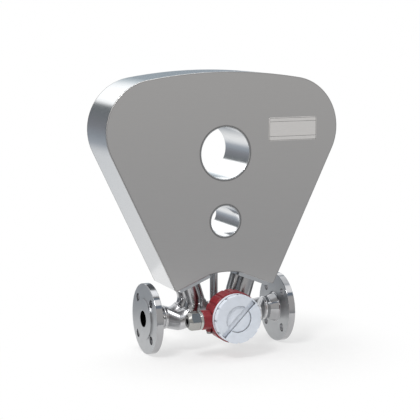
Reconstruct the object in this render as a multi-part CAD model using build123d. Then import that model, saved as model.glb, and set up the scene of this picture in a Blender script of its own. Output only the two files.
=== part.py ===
from build123d import *
from math import cos, hypot, pi, radians, sin, sqrt
import os

# Coriolis mass flow meter with two omega shaped measuring tubes in a flat wedge housing
# Millimetres. +X runs with the flow, +Z up, the transmitter looks along -Y
# Pieces are drawn about the middle of the meter and moved so that the inlet sealing face is at x 0

# Process connections, weld neck flanges for 40 mm pipe at 40 bar
FACE_TO_FACE = 325.0
FLANGE_DIAMETER = 150.0
FLANGE_THICKNESS = 18.0
RAISED_FACE_DIAMETER = 88.0
RAISED_FACE_HEIGHT = 3.0
BOLT_CIRCLE = 110.0
BOLT_HOLE = 18.0
BOLT_COUNT = 4
BORE = 35.0
HUB_ROOT_DIAMETER = 64.0
HUB_TAPER_LENGTH = 17.0
HUB_LENGTH = 45.0
HUB_ROOT_ROUND = 5.0
NECK_DIAMETER = 48.3
RIM_ROUND = 1.2
HUB_NECK_ROUND = 10.0
WELD_WIDTH = 6.0
WELD_HEIGHT = 1.4

# Flow splitters
BRANCH_Y = 24.0
BRANCH_X = 95.0
BRANCH_Z = -5.0
BRANCH_DIAMETER = 40.0
SPLITTER_TURN = 50.0
SPLITTER_COLLAR = 4.0
BEND_RADIUS = 38.0

# Measuring tubes
TUBE_DIAMETER = 33.7
TUBE_WALL = 2.0
LEG_LEAN = 17.5
TUBE_TOP_Z = 462.0
CORNER_RADIUS = 75.0
SEAM_WIDTH = 4.4
SEAM_HEIGHT = 2.0
SEAM_LIFT = 0.75

# Mass bars, drives and pick ups
BAR_Z = 150.0
BAR_HEIGHT = 16.0
BAR_HALF_LENGTH = 138.0
BAR_NEAR_Y = 3.5
BAR_FAR_Y = 45.0
BAR_ROUND = 5.0
DRIVE_X = 124.0
DRIVE_COIL_RADIUS = 10.0
DRIVE_COIL_BORE = 5.0
DRIVE_MAGNET_RADIUS = 4.4
DRIVE_SEAT_DEPTH = 14.5
DRIVE_MAGNET_REACH = 14.0
PICKUP_TURN = 36.0
PICKUP_RADIUS = 9.0
PICKUP_DEPTH = 12.0
PICKUP_GAP = 1.2
PICKUP_PIN_RADIUS = 3.6
PICKUP_PIN_REACH = 3.0
PICKUP_BORE_RADIUS = 4.4
PICKUP_BORE_DEPTH = 4.5
SENSOR_Z = 116.0
SENSOR_SIZE = (10.0, 9.0, 22.0)
SENSOR_GRIP = 4.0

# Torsion rods, their anchor and the spine between the splitters
ROD_DIAMETER = 9.6
ROD_Y = 9.0
ROD_SEAT_Z = 17.0
ROD_TOP_SEAT = 10.0
ROD_PASSAGE = 1.0
ROD_CHAMFER = 0.8
ANCHOR_HALF_X = 10.0
ANCHOR_HALF_Y = 20.0
ANCHOR_LOW_Z = 8.0
ANCHOR_TOP_Z = 22.0
ANCHOR_CHAMFER = 1.0
SPINE_DIAMETER = 33.7
SPINE_WALL = 4.0
SPINE_HALF_LENGTH = 76.0
SPINE_WIRE_HOLE = 14.0
SPINE_COPE_TURN = 100.0

# Wiring conduit from the spine into the housing
CONDUIT_X = -23.0
CONDUIT_DIAMETER = 10.0
CONDUIT_BORE = 7.0
CONDUIT_FOOT_Z = 20.0
CONDUIT_LENGTH = 84.0
CONDUIT_WIRE_HOLE = 6.0
CONDUIT_BASE_HALF_X = 6.5
CONDUIT_BASE_HALF_Y = 8.0
CONDUIT_BASE_LOW_Z = 10.0
CONDUIT_BASE_TOP_Z = 27.0
CONDUIT_BASE_ROUND = 2.0
FERRULE_DIAMETER = 13.0
FERRULE_HEIGHT = 4.0
FERRULE_ROUND = 0.8

# Wedge housing
HALF_DEPTH = 62.0
PLATE = 4.0
BAND = 3.0
TOP_RADIUS = 1040.0
TOP_Z = 519.7
SHOULDER_RADIUS = 108.0
SIDE_LEAN = 25.7
CORNER_X = 112.2
CORNER_Z = 65.0
FOOT_ROUND = 4.0
ARCH_HALF = 34.3
ARCH_END_Z = 96.5
ARCH_TOP_Z = 100.0
CLOSING_THICKNESS = 10.0
CLOSING_PROUD = 7.5
CLOSING_SHORT = 10.0
CLOSING_ROUND = 2.0
EDGE_ROUND = 1.2

# Round openings through the housing
UPPER_HOLE_Z = 350.6
UPPER_HOLE_RADIUS = 54.4
UPPER_SLEEVE_WALL = 2.8
LOWER_HOLE_Z = 208.0
LOWER_HOLE_RADIUS = 32.2
LOWER_SLEEVE_WALL = 2.9
SLEEVE_ROUND = 1.0

# Nameplate, placed from the widest point of the right shoulder
NAMEPLATE_INSET = 49.6
NAMEPLATE_DROP = 1.9
NAMEPLATE_WIDTH = 111.8
NAMEPLATE_HEIGHT = 49.3
NAMEPLATE_THICKNESS = 1.0
NAMEPLATE_ROUND = 4.0
NAMEPLATE_EDGE = 0.3

# Transmitter
HEAD_Z = 12.0
HEAD_BACK_Y = -76.0
HEAD_DEPTH = 35.7
HEAD_RADIUS = 54.0
HEAD_ROUND = 1.5
HEAD_CAVITY_RADIUS = 44.0
HEAD_THREAD_RADIUS = 46.0
HEAD_THREAD_DEPTH = 13.0
HEAD_BACK_WALL = 8.0
FLUTE_COUNT = 16
FLUTE_RADIUS = 4.0
FLUTE_OFFSET = 2.2
NECK_RADIUS = 18.0
NECK_BORE_RADIUS = 12.0
NECK_COLLAR_RADIUS = 24.0
NECK_COLLAR_LENGTH = 6.0
NECK_END_Y = -12.0

# Screw cover, a plain ring at the back, a groove and a notched rim at the front
COVER_THICKNESS = 20.0
COVER_RADIUS = 51.2
COVER_ROUND = 1.2
COVER_RING_LENGTH = 8.0
COVER_GROOVE_WIDTH = 2.0
COVER_GROOVE_DEPTH = 1.3
COVER_WALL = 11.0
SPIGOT_LENGTH = 11.0
SPIGOT_BORE_RADIUS = 40.0
DISH_RADIUS = 28.5
DISH_DEPTH = 3.5
SLOT_WIDTH = 12.5
SLOT_DEPTH = 6.5
SLOT_END_WALL = 2.6
SLOT_ROUND = 2.0
SLOT_TURN = -45.0
NOTCH_COUNT = 12
NOTCH_RADIUS = 2.6
NOTCH_OFFSET = 0.3
SEAL_WIRE = 1.2
SEAL_BACK = 4.0
SEAL_GROOVE_WIDTH = 2.8

# Electronics
POST_RADIUS = 3.5
POST_CIRCLE = 34.0
POST_COUNT = 3
POST_LENGTH = 6.0
BOARD_RADIUS = 41.0
BOARD_THICKNESS = 1.6
BOARD_SCREW_HEAD = 3.0
BOARD_SCREW_SHANK = 1.5
BOARD_SCREW_HEAD_HEIGHT = 2.0
TERMINAL_WIDTH = 52.0
TERMINAL_HEIGHT = 15.0
TERMINAL_DEPTH = 7.5
TERMINAL_Z = -10.0
TERMINAL_COUNT = 6
TERMINAL_SCREW_RADIUS = 2.6
TERMINAL_SCREW_HEIGHT = 2.0
TERMINAL_SLOT_WIDTH = 0.8
TERMINAL_SLOT_DEPTH = 0.8
TERMINAL_RECESS = 4.0

# Cable gland in the boss of the transmitter
BOSS_BACK = 18.0
BOSS_Z = 9.0
BOSS_RADIUS = 20.5
BOSS_END_X = -70.2
BOSS_ROOT_GAP = 6.0
BOSS_BORE_RADIUS = 9.5
BOSS_ROUND = 1.5
GLAND_FLANGE_LENGTH = 6.1
GLAND_FLANGE_RADIUS = 20.0
GLAND_FLANGE_ROUND = 1.0
GLAND_SPIGOT_LENGTH = 24.2
GLAND_PASSAGE_RADIUS = 6.8
GLAND_BARREL_RADIUS = 14.0
GLAND_SEAT_RADIUS = 10.6
GLAND_SEAT_WALL = 1.2
NUT_ACROSS_FLATS = 36.5
NUT_LENGTH = 23.7
NUT_GAP = 0.4
NUT_END_WALL = 8.0
NUT_END_RADIUS = 13.0
NUT_DOME_LENGTH = 6.5
NUT_CORNER_TRIM = 0.4
NUT_CHAMFER = 1.2
THRUST_RING_RADIUS = 13.6
THRUST_RING_LENGTH = 2.6
THRUST_GAP = 1.2
SCREW_X = -50.8
SCREW_HEAD_RADIUS = 5.6
SCREW_HEAD_HEIGHT = 5.0
SCREW_HEAD_ROUND = 1.0
SCREW_SHANK_RADIUS = 3.0
SCREW_SHANK_LENGTH = 6.0
SCREW_TIP_GAP = 0.5
SCREW_SLOT = 1.6
SCREW_SLOT_DEPTH = 2.0
SCREW_PAD_RADIUS = 7.0
SCREW_PAD_HEIGHT = 4.4

# Gaps between pieces
BRAZE = 0.05
SNUG = 0.1
RUNNING = 0.05
COVER_GAP = 0.3

# How far a cut runs past the face it leaves
OVERRUN = 1.0

HALF_LENGTH = FACE_TO_FACE / 2
NECK_END_X = HALF_LENGTH - HUB_LENGTH
BEND_Z = BRANCH_Z + BEND_RADIUS
TUBE_RADIUS = TUBE_DIAMETER / 2
TUBE_BORE_RADIUS = TUBE_RADIUS - TUBE_WALL
SPINE_RADIUS = SPINE_DIAMETER / 2
LEG_SIN = sin(radians(LEG_LEAN))
LEG_COS = cos(radians(LEG_LEAN))
LEG_FOOT_X = BRANCH_X - BEND_RADIUS * LEG_COS
LEG_FOOT_Z = BEND_Z + BEND_RADIUS * LEG_SIN
LOOP_Z = TUBE_TOP_Z - CORNER_RADIUS
LOOP_X = LEG_FOOT_X - (CORNER_RADIUS - (LOOP_Z - LEG_FOOT_Z) * LEG_SIN) / LEG_COS
INNER_Y = HALF_DEPTH - PLATE
HEAD_FRONT_Y = HEAD_BACK_Y - HEAD_DEPTH
HEAD_FLOOR_Y = HEAD_BACK_Y - HEAD_BACK_WALL
BOARD_Y = HEAD_FLOOR_Y - POST_LENGTH
COVER_BACK_Y = HEAD_FRONT_Y - COVER_GAP
COVER_FRONT_Y = COVER_BACK_Y - COVER_THICKNESS
SEAL_Y = COVER_BACK_Y + SPIGOT_LENGTH - SEAL_BACK
BOSS_Y = HEAD_BACK_Y - BOSS_BACK
SCREW_PAD_Z = BOSS_Z - BOSS_RADIUS - SCREW_PAD_HEIGHT
GLAND_FACE_X = BOSS_END_X - GLAND_FLANGE_LENGTH
NUT_BASE_X = GLAND_FACE_X - NUT_GAP
NUT_END_X = NUT_BASE_X - NUT_LENGTH
THRUST_X = NUT_END_X + NUT_END_WALL + SNUG
BARREL_END_X = THRUST_X + THRUST_RING_LENGTH + THRUST_GAP
SEAT_FLOOR_X = GLAND_FACE_X - GLAND_SEAT_WALL
LOW = (Align.CENTER, Align.CENTER, Align.MIN)


def bar_x(radius, x0, x1, y=0.0, z=0.0):
    """Round bar along X"""
    return Pos(x0, y, z) * Rot(0, 90, 0) * Cylinder(radius, x1 - x0, align=LOW)


def bar_y(radius, y0, y1, x=0.0, z=0.0):
    """Round bar along Y"""
    return Pos(x, y0, z) * Rot(-90, 0, 0) * Cylinder(radius, y1 - y0, align=LOW)


def bar_z(radius, z0, z1, x=0.0, y=0.0):
    """Round bar along Z"""
    return Pos(x, y, z0) * Cylinder(radius, z1 - z0, align=LOW)


def block(x0, x1, y0, y1, z0, z1):
    """Rectangular block between two corners"""
    return Pos((x0 + x1) / 2, (y0 + y1) / 2, (z0 + z1) / 2) * Box(x1 - x0, y1 - y0, z1 - z0)


def upright(y):
    """Plane parallel to the front of the housing, its sides along X and Z"""
    return Plane.XZ.offset(-y)


def slab(face, y0, y1):
    """Flat shape drawn in X and Z, made solid between two depths"""
    return extrude(upright(y1) * face, amount=y1 - y0)


def softened(face, corners, radius):
    """Face with the corners nearest to the given points rounded"""
    picked = [min(face.vertices(), key=lambda v: hypot(v.X - x, v.Y - y)) for x, y in corners]
    return fillet(picked, radius)


def leg_plane(x_side, y, height):
    """Plane across a measuring tube leg at a height, its own X pointing to the middle"""
    x = LEG_FOOT_X + (height - LEG_FOOT_Z) * LEG_SIN / LEG_COS
    return Plane(
        origin=(x_side * x, y, height),
        x_dir=(-x_side * LEG_COS, 0, LEG_SIN),
        z_dir=(x_side * LEG_SIN, 0, LEG_COS),
    )


def leg_bar(x_side, y, radius, z0, z1):
    """Round bar on the axis of a measuring tube leg"""
    return leg_plane(x_side, y, z0) * Cylinder(radius, (z1 - z0) / LEG_COS, align=LOW)


def left_bend(y, start, turn):
    """Bend of the left branch in its upright plane, angles counted from its lowest point"""
    return upright(y) * CenterArc((-BRANCH_X, BEND_Z), BEND_RADIUS, start - 90, turn)


def bend_bar(y, radius, start, turn):
    """Round bar bent along the left branch"""
    path = left_bend(y, start, turn)
    section = Plane(origin=path @ 0, z_dir=path % 0) * Circle(radius)
    return sweep(section, path=path)


def tube_path(y):
    """Centre line of a measuring tube from the left seam over the top to the right seam"""
    arc = LEG_LEAN + 90 - SPLITTER_TURN
    left_corner = (-LOOP_X - CORNER_RADIUS * LEG_COS, LOOP_Z - CORNER_RADIUS * LEG_SIN)
    right_corner = (-left_corner[0], left_corner[1])
    top = 90 + LEG_LEAN
    pieces = [
        CenterArc((-BRANCH_X, BEND_Z), BEND_RADIUS, SPLITTER_TURN - 90, arc),
        Line((-LEG_FOOT_X, LEG_FOOT_Z), left_corner),
        CenterArc((-LOOP_X, LOOP_Z), CORNER_RADIUS, 180 + LEG_LEAN, -top),
        Line((-LOOP_X, TUBE_TOP_Z), (LOOP_X, TUBE_TOP_Z)),
        CenterArc((LOOP_X, LOOP_Z), CORNER_RADIUS, 90, -top),
        Line(right_corner, (LEG_FOOT_X, LEG_FOOT_Z)),
        CenterArc((BRANCH_X, BEND_Z), BEND_RADIUS, 180 - LEG_LEAN, arc),
    ]
    return Wire([upright(y) * piece for piece in pieces])


def tube_bar(y, radius):
    """Round bar along a whole measuring tube"""
    path = tube_path(y)
    section = Plane(origin=path @ 0, z_dir=path % 0) * Circle(radius)
    return sweep(section, path=path)


def measuring_tube(y):
    return tube_bar(y, TUBE_RADIUS) - tube_bar(y, TUBE_BORE_RADIUS)


def weld_ring(radius, width, height):
    """Weld bead about Z, from its lower end up"""
    crown = ThreePointArc((radius, 0), (radius + height, width / 2), (radius, width))
    return Rot(90, 0, 0) * revolve(make_face(crown + Line((radius, width), (radius, 0))), Axis.Y)


def seam_beads():
    """Weld beads where the measuring tubes leave the splitters"""
    beads = []
    for y in (-BRANCH_Y, BRANCH_Y):
        path = left_bend(y, 0, SPLITTER_TURN)
        place = Plane(origin=path @ 1, z_dir=path % 1)
        bead = place * Pos(0, 0, BRAZE) * weld_ring(TUBE_RADIUS + SEAM_LIFT, SEAM_WIDTH, SEAM_HEIGHT)
        beads += [bead.solid(), mirror(bead, about=Plane.YZ).solid()]
    return Compound(children=beads)


def flange():
    """Weld neck flange of the inlet"""
    face = -HALF_LENGTH
    step = face + RAISED_FACE_HEIGHT
    back = face + FLANGE_THICKNESS
    taper = back + HUB_TAPER_LENGTH
    end = face + HUB_LENGTH
    rim = FLANGE_DIAMETER / 2
    outline = [
        (face, BORE / 2),
        (face, RAISED_FACE_DIAMETER / 2),
        (step, RAISED_FACE_DIAMETER / 2),
        (step, rim),
        (back, rim),
        (back, HUB_ROOT_DIAMETER / 2),
        (taper, NECK_DIAMETER / 2),
        (end, NECK_DIAMETER / 2),
        (end, BORE / 2),
    ]
    profile = make_face(Polyline(*outline, close=True))
    profile = softened(profile, [(step, rim), (back, rim)], RIM_ROUND)
    profile = softened(profile, [(back, HUB_ROOT_DIAMETER / 2)], HUB_ROOT_ROUND)
    profile = softened(profile, [(taper, NECK_DIAMETER / 2)], HUB_NECK_ROUND)
    body = revolve(profile, Axis.X)
    for index in range(BOLT_COUNT):
        turn = 2 * pi * (index + 0.5) / BOLT_COUNT
        y = BOLT_CIRCLE / 2 * cos(turn)
        z = BOLT_CIRCLE / 2 * sin(turn)
        body -= bar_x(BOLT_HOLE / 2, face, back, y, z)
    return body


def flange_weld():
    """Bead between the flange neck and the splitter"""
    ring = weld_ring(NECK_DIAMETER / 2 + BRAZE, WELD_WIDTH, WELD_HEIGHT)
    return Pos(-NECK_END_X - WELD_WIDTH / 2, 0, 0) * Rot(0, 90, 0) * ring


def splitter_shell(neck_radius, branch_radius):
    """Round neck that parts into two branches, each with the start of its bend"""
    mouth_x = -NECK_END_X + SPLITTER_COLLAR
    shell = bar_x(neck_radius, -NECK_END_X, mouth_x)
    mouth = Plane(origin=(mouth_x, 0, 0), z_dir=(1, 0, 0)) * Circle(neck_radius)
    for y in (-BRANCH_Y, BRANCH_Y):
        throat = Plane(origin=(-BRANCH_X, y, BRANCH_Z), z_dir=(1, 0, 0)) * Circle(branch_radius)
        shell += loft([mouth, throat])
        shell += bend_bar(y, branch_radius, 0, SPLITTER_TURN)
    return shell


def splitter():
    """Casting that divides the flow of the inlet between the two measuring tubes"""
    outside = splitter_shell(NECK_DIAMETER / 2, BRANCH_DIAMETER / 2)
    return outside - splitter_shell(BORE / 2, TUBE_BORE_RADIUS)


def spine():
    """Tube that ties the two splitters together and carries the transmitter"""
    body = bar_x(SPINE_RADIUS, -SPINE_HALF_LENGTH, SPINE_HALF_LENGTH)
    body -= bar_x(SPINE_RADIUS - SPINE_WALL, -SPINE_HALF_LENGTH, SPINE_HALF_LENGTH)
    for y in (-BRANCH_Y, BRANCH_Y):
        cope = bend_bar(y, BRANCH_DIAMETER / 2 + SNUG, 0, SPINE_COPE_TURN)
        body -= cope
        body -= mirror(cope, about=Plane.YZ)
    body -= bar_y(SPINE_WIRE_HOLE / 2, -SPINE_RADIUS - OVERRUN, 0)
    body -= bar_z(CONDUIT_BORE / 2, 0, SPINE_RADIUS + OVERRUN, CONDUIT_X, 0)
    return body


def rod_anchor():
    """Saddle on the spine that holds the feet of the torsion rods"""
    body = block(-ANCHOR_HALF_X, ANCHOR_HALF_X, -ANCHOR_HALF_Y, ANCHOR_HALF_Y, ANCHOR_LOW_Z, ANCHOR_TOP_Z)
    body = chamfer(body.faces().sort_by(Axis.Z)[-1].edges(), ANCHOR_CHAMFER)
    body -= bar_x(SPINE_RADIUS + SNUG, -ANCHOR_HALF_X - OVERRUN, ANCHOR_HALF_X + OVERRUN)
    for y in (-ROD_Y, ROD_Y):
        body -= bar_z(ROD_DIAMETER / 2 + BRAZE, ROD_SEAT_Z, ANCHOR_TOP_Z + OVERRUN, 0, y)
    return body


def torsion_rod(y):
    """Rod about which one measuring loop twists"""
    low = ROD_SEAT_Z + BRAZE
    high = BAR_Z - BAR_HEIGHT / 2 + ROD_TOP_SEAT - BRAZE
    rod = bar_z(ROD_DIAMETER / 2, low, high, 0, y)
    return chamfer(rod.edges().filter_by(GeomType.CIRCLE), ROD_CHAMFER)


def mass_bar(y_side):
    """Bar that joins the two legs of one loop to the head of its rod"""
    near = y_side * BAR_NEAR_Y
    far = y_side * BAR_FAR_Y
    low = BAR_Z - BAR_HEIGHT / 2
    high = BAR_Z + BAR_HEIGHT / 2
    body = block(-BAR_HALF_LENGTH, BAR_HALF_LENGTH, min(near, far), max(near, far), low, high)
    body = fillet(body.edges().filter_by(Axis.Z), BAR_ROUND)
    seat = near + y_side * (DRIVE_SEAT_DEPTH + SNUG)
    seat_radius = DRIVE_COIL_RADIUS if y_side < 0 else DRIVE_MAGNET_RADIUS
    for x_side in (-1, 1):
        body -= leg_bar(
            x_side, y_side * BRANCH_Y, TUBE_RADIUS + SNUG, low - TUBE_RADIUS, high + TUBE_RADIUS
        )
        drive = x_side * DRIVE_X
        body -= bar_y(seat_radius + BRAZE, min(near, seat), max(near, seat), drive, BAR_Z)
    body -= bar_z(ROD_DIAMETER / 2 + BRAZE, low - OVERRUN, low + ROD_TOP_SEAT, 0, y_side * ROD_Y)
    return body


def drive_coil(x_side):
    """Coil set in the front mass bar"""
    back = -BAR_NEAR_Y - DRIVE_SEAT_DEPTH
    x = x_side * DRIVE_X
    body = bar_y(DRIVE_COIL_RADIUS, back, -BAR_NEAR_Y, x, BAR_Z)
    return body - bar_y(DRIVE_COIL_BORE, back, -BAR_NEAR_Y, x, BAR_Z)


def drive_magnet(x_side):
    """Magnet set in the rear mass bar that reaches into the coil"""
    x = x_side * DRIVE_X
    return bar_y(DRIVE_MAGNET_RADIUS, -DRIVE_MAGNET_REACH, BAR_NEAR_Y + DRIVE_SEAT_DEPTH, x, BAR_Z)


def pickup_place(x_side):
    """Middle of a pick up on the shoulder of the loops"""
    turn = radians(PICKUP_TURN)
    return x_side * (LOOP_X + CORNER_RADIUS * cos(turn)), LOOP_Z + CORNER_RADIUS * sin(turn)


def pickup_coil(x_side):
    """Coil brazed to the front tube"""
    x, z = pickup_place(x_side)
    body = bar_y(PICKUP_RADIUS, -PICKUP_DEPTH, -PICKUP_GAP, x, z)
    body -= tube_bar(-BRANCH_Y, TUBE_RADIUS + SNUG)
    return body - bar_y(PICKUP_BORE_RADIUS, -PICKUP_GAP - PICKUP_BORE_DEPTH, -PICKUP_GAP, x, z)


def pickup_magnet(x_side):
    """Magnet brazed to the rear tube, its pin in the coil"""
    x, z = pickup_place(x_side)
    body = bar_y(PICKUP_RADIUS, PICKUP_GAP, PICKUP_DEPTH, x, z)
    body -= tube_bar(BRANCH_Y, TUBE_RADIUS + SNUG)
    return body + bar_y(PICKUP_PIN_RADIUS, -PICKUP_GAP - PICKUP_PIN_REACH, PICKUP_GAP, x, z)


def temperature_sensor():
    """Resistance sensor in its clamp shoe on the front tube"""
    place = leg_plane(-1, -BRANCH_Y, SENSOR_Z)
    shoe = place * Pos(TUBE_RADIUS + SENSOR_SIZE[0] / 2 - SENSOR_GRIP, 0, 0) * Box(*SENSOR_SIZE)
    reach = SENSOR_SIZE[2]
    return shoe - leg_bar(-1, -BRANCH_Y, TUBE_RADIUS + SNUG, SENSOR_Z - reach, SENSOR_Z + reach)


def conduit_plane():
    """Foot of the wiring conduit, leaning outwards like the tube legs"""
    return Plane(
        origin=(CONDUIT_X, 0, CONDUIT_FOOT_Z),
        x_dir=(LEG_COS, 0, LEG_SIN),
        z_dir=(-LEG_SIN, 0, LEG_COS),
    )


def conduit():
    tube = Cylinder(CONDUIT_DIAMETER / 2, CONDUIT_LENGTH, align=LOW)
    tube -= Cylinder(CONDUIT_BORE / 2, CONDUIT_LENGTH, align=LOW)
    return conduit_plane() * tube


def conduit_passage(extra):
    """Hole for the conduit, as a solid bar that runs on past its upper end"""
    length = CONDUIT_LENGTH + CONDUIT_DIAMETER
    return conduit_plane() * Cylinder(CONDUIT_DIAMETER / 2 + extra, length, align=LOW)


def conduit_ferrule():
    """Gland ring that seals the conduit on its foot block"""
    rise = (CONDUIT_BASE_TOP_Z - CONDUIT_FOOT_Z) / LEG_COS
    ring = Cylinder(FERRULE_DIAMETER / 2, rise + FERRULE_HEIGHT, align=LOW)
    ring = fillet(ring.edges().sort_by(Axis.Z)[-1], FERRULE_ROUND)
    ring -= Cylinder(CONDUIT_DIAMETER / 2 + BRAZE, rise + FERRULE_HEIGHT, align=LOW)
    span = FERRULE_DIAMETER
    under = block(
        CONDUIT_X - span, CONDUIT_X + span, -span, span, CONDUIT_FOOT_Z - span, CONDUIT_BASE_TOP_Z
    )
    return conduit_plane() * ring - under


def conduit_base():
    """Foot block of the conduit, saddled on the spine"""
    body = block(
        CONDUIT_X - CONDUIT_BASE_HALF_X,
        CONDUIT_X + CONDUIT_BASE_HALF_X,
        -CONDUIT_BASE_HALF_Y,
        CONDUIT_BASE_HALF_Y,
        CONDUIT_BASE_LOW_Z,
        CONDUIT_BASE_TOP_Z,
    )
    body = fillet(body.edges().filter_by(Axis.Z), CONDUIT_BASE_ROUND)
    reach = CONDUIT_BASE_HALF_X + OVERRUN
    body -= bar_x(SPINE_RADIUS + SNUG, CONDUIT_X - reach, CONDUIT_X + reach)
    body -= conduit_passage(BRAZE)
    wires = CONDUIT_WIRE_HOLE / 2
    return body - bar_z(wires, 0, CONDUIT_FOOT_Z + wires, CONDUIT_X, 0)


def arch_normal():
    """Unit direction of the sloping lower edge and its outward normal, right side"""
    run = CORNER_X - ARCH_HALF
    fall = CORNER_Z - ARCH_END_Z
    length = hypot(run, fall)
    return (run / length, fall / length), (fall / length, -run / length)


def side_directions():
    """Unit direction up the leaning side and its outward normal, right side"""
    along = (sin(radians(SIDE_LEAN)), cos(radians(SIDE_LEAN)))
    return along, (along[1], -along[0])


def shoulder_centre():
    """Centre of the right shoulder arc, which runs into both the side and the roof"""
    along, out = side_directions()
    top = TOP_Z - TOP_RADIUS
    start = (CORNER_X - out[0] * SHOULDER_RADIUS, CORNER_Z - out[1] * SHOULDER_RADIUS - top)
    half = start[0] * along[0] + start[1] * along[1]
    rest = start[0] ** 2 + start[1] ** 2 - (TOP_RADIUS - SHOULDER_RADIUS) ** 2
    slide = sqrt(half * half - rest) - half
    return start[0] + along[0] * slide, start[1] + along[1] * slide + top


def outline():
    """Wedge outline of the housing seen from the front"""
    out = side_directions()[1]
    top = TOP_Z - TOP_RADIUS
    centre = shoulder_centre()
    side = (centre[0] + out[0] * SHOULDER_RADIUS, centre[1] + out[1] * SHOULDER_RADIUS)
    grow = TOP_RADIUS / (TOP_RADIUS - SHOULDER_RADIUS)
    roof = (centre[0] * grow, top + (centre[1] - top) * grow)
    lean = ((side[0] + roof[0]) / 2 - centre[0], (side[1] + roof[1]) / 2 - centre[1])
    reach = SHOULDER_RADIUS / hypot(*lean)
    bulge = (centre[0] + lean[0] * reach, centre[1] + lean[1] * reach)
    corner = (CORNER_X, CORNER_Z)
    spring = (ARCH_HALF, ARCH_END_Z)

    def left(point):
        return -point[0], point[1]

    line = (
        ThreePointArc(left(roof), (0, TOP_Z), roof)
        + ThreePointArc(roof, bulge, side)
        + Line(side, corner)
        + Line(corner, spring)
        + ThreePointArc(spring, (0, ARCH_TOP_Z), left(spring))
        + Line(left(spring), left(corner))
        + Line(left(corner), left(side))
        + ThreePointArc(left(side), left(bulge), left(roof))
    )
    return softened(make_face(line), [corner, left(corner)], FOOT_ROUND)


def plate_holes(extra, y0, y1):
    """Both round openings as solid bars, swollen to the outside of the sleeves"""
    upper = bar_y(UPPER_HOLE_RADIUS + UPPER_SLEEVE_WALL + extra, y0, y1, 0, UPPER_HOLE_Z)
    lower = bar_y(LOWER_HOLE_RADIUS + LOWER_SLEEVE_WALL + extra, y0, y1, 0, LOWER_HOLE_Z)
    return upper, lower


def front_plate():
    body = slab(outline(), -HALF_DEPTH, -INNER_Y)
    rim = body.faces().sort_by(Axis.Y)[0].edges()
    body = fillet(rim.sort_by(Axis.Z)[-1], EDGE_ROUND)
    for hole in plate_holes(BRAZE, -HALF_DEPTH, -INNER_Y):
        body -= hole
    return body


def foot_cut(side):
    """Sheet removed from the band between the arch and the foot of the housing"""
    along, out = arch_normal()
    far = hypot(CORNER_X - ARCH_HALF, CORNER_Z - ARCH_END_Z) - CLOSING_SHORT
    reach = 2 * CLOSING_THICKNESS
    corners = []
    for run, rise in ((0, reach), (far, reach), (far, -reach), (0, -reach)):
        x = ARCH_HALF + along[0] * run + out[0] * rise
        z = ARCH_END_Z + along[1] * run + out[1] * rise
        corners.append((side * x, z))
    return make_face(Polyline(*corners, close=True))


def rim_sheet():
    """Strip that follows the whole outline just inside it"""
    face = outline()
    return face - offset(face, amount=-BAND, kind=Kind.INTERSECTION)


def arch_window(half):
    """Window around the curved sheet at the bottom of the outline"""
    low = ARCH_END_Z - CLOSING_THICKNESS
    high = ARCH_TOP_Z + CLOSING_THICKNESS
    return Pos(0, (low + high) / 2) * Rectangle(2 * half, high - low)


def band():
    """Sheet over the top and both sides, turned in under the feet"""
    strip = rim_sheet() - arch_window(ARCH_HALF + BAND) - foot_cut(1) - foot_cut(-1)
    return slab(strip, -INNER_Y, INNER_Y)


def arch_plate():
    """Thin curved sheet between the closing plates, pierced for the torsion rods"""
    body = slab(rim_sheet() & arch_window(ARCH_HALF - BRAZE), -INNER_Y, INNER_Y)
    high = ARCH_TOP_Z + BAND + OVERRUN
    for y in (-ROD_Y, ROD_Y):
        body -= bar_z(ROD_DIAMETER / 2 + ROD_PASSAGE, ARCH_END_Z - OVERRUN, high, 0, y)
    return body


def closing_plate(side):
    """Thick sloping plate through which the measuring tubes enter the housing"""
    along, out = arch_normal()
    far = hypot(CORNER_X - ARCH_HALF, CORNER_Z - ARCH_END_Z) - CLOSING_SHORT - BRAZE
    corners = []
    deep = CLOSING_PROUD - CLOSING_THICKNESS
    for run, rise in ((BRAZE, deep), (far, deep), (far, CLOSING_PROUD), (BRAZE, CLOSING_PROUD)):
        x = ARCH_HALF + along[0] * run + out[0] * rise
        z = ARCH_END_Z + along[1] * run + out[1] * rise
        corners.append((side * x, z))
    body = slab(make_face(Polyline(*corners, close=True)), -INNER_Y, INNER_Y)
    body = fillet(body.edges().filter_by(Axis.Y).sort_by(Axis.Z)[0], CLOSING_ROUND)
    for y in (-BRANCH_Y, BRANCH_Y):
        body -= leg_bar(side, y, TUBE_RADIUS + SNUG, LEG_FOOT_Z, ARCH_TOP_Z + TUBE_RADIUS)
    if side < 0:
        body -= conduit_passage(SNUG)
    return body


def sleeve(radius, wall, height):
    """Pipe welded flush into both plates, so that the housing can be gripped through it"""
    ring = bar_y(radius + wall, -HALF_DEPTH, HALF_DEPTH, 0, height)
    ring -= bar_y(radius, -HALF_DEPTH, HALF_DEPTH, 0, height)
    inner = [e for e in ring.edges().filter_by(GeomType.CIRCLE) if e.radius < radius + wall / 2]
    return fillet(inner, SLEEVE_ROUND)


def nameplate():
    shape = RectangleRounded(NAMEPLATE_WIDTH, NAMEPLATE_HEIGHT, NAMEPLATE_ROUND)
    x, z = shoulder_centre()
    x += SHOULDER_RADIUS - NAMEPLATE_INSET - NAMEPLATE_WIDTH / 2
    front = -HALF_DEPTH - NAMEPLATE_THICKNESS
    body = slab(Pos(x, z - NAMEPLATE_DROP) * shape, front, -HALF_DEPTH)
    return fillet(body.faces().sort_by(Axis.Y)[0].edges(), NAMEPLATE_EDGE)


def around(count, radius, first=0.0):
    """Points evenly spaced on a circle about the transmitter axis, in X and Z"""
    for index in range(count):
        turn = radians(first + 360 * index / count)
        yield radius * cos(turn), HEAD_Z + radius * sin(turn)


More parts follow.
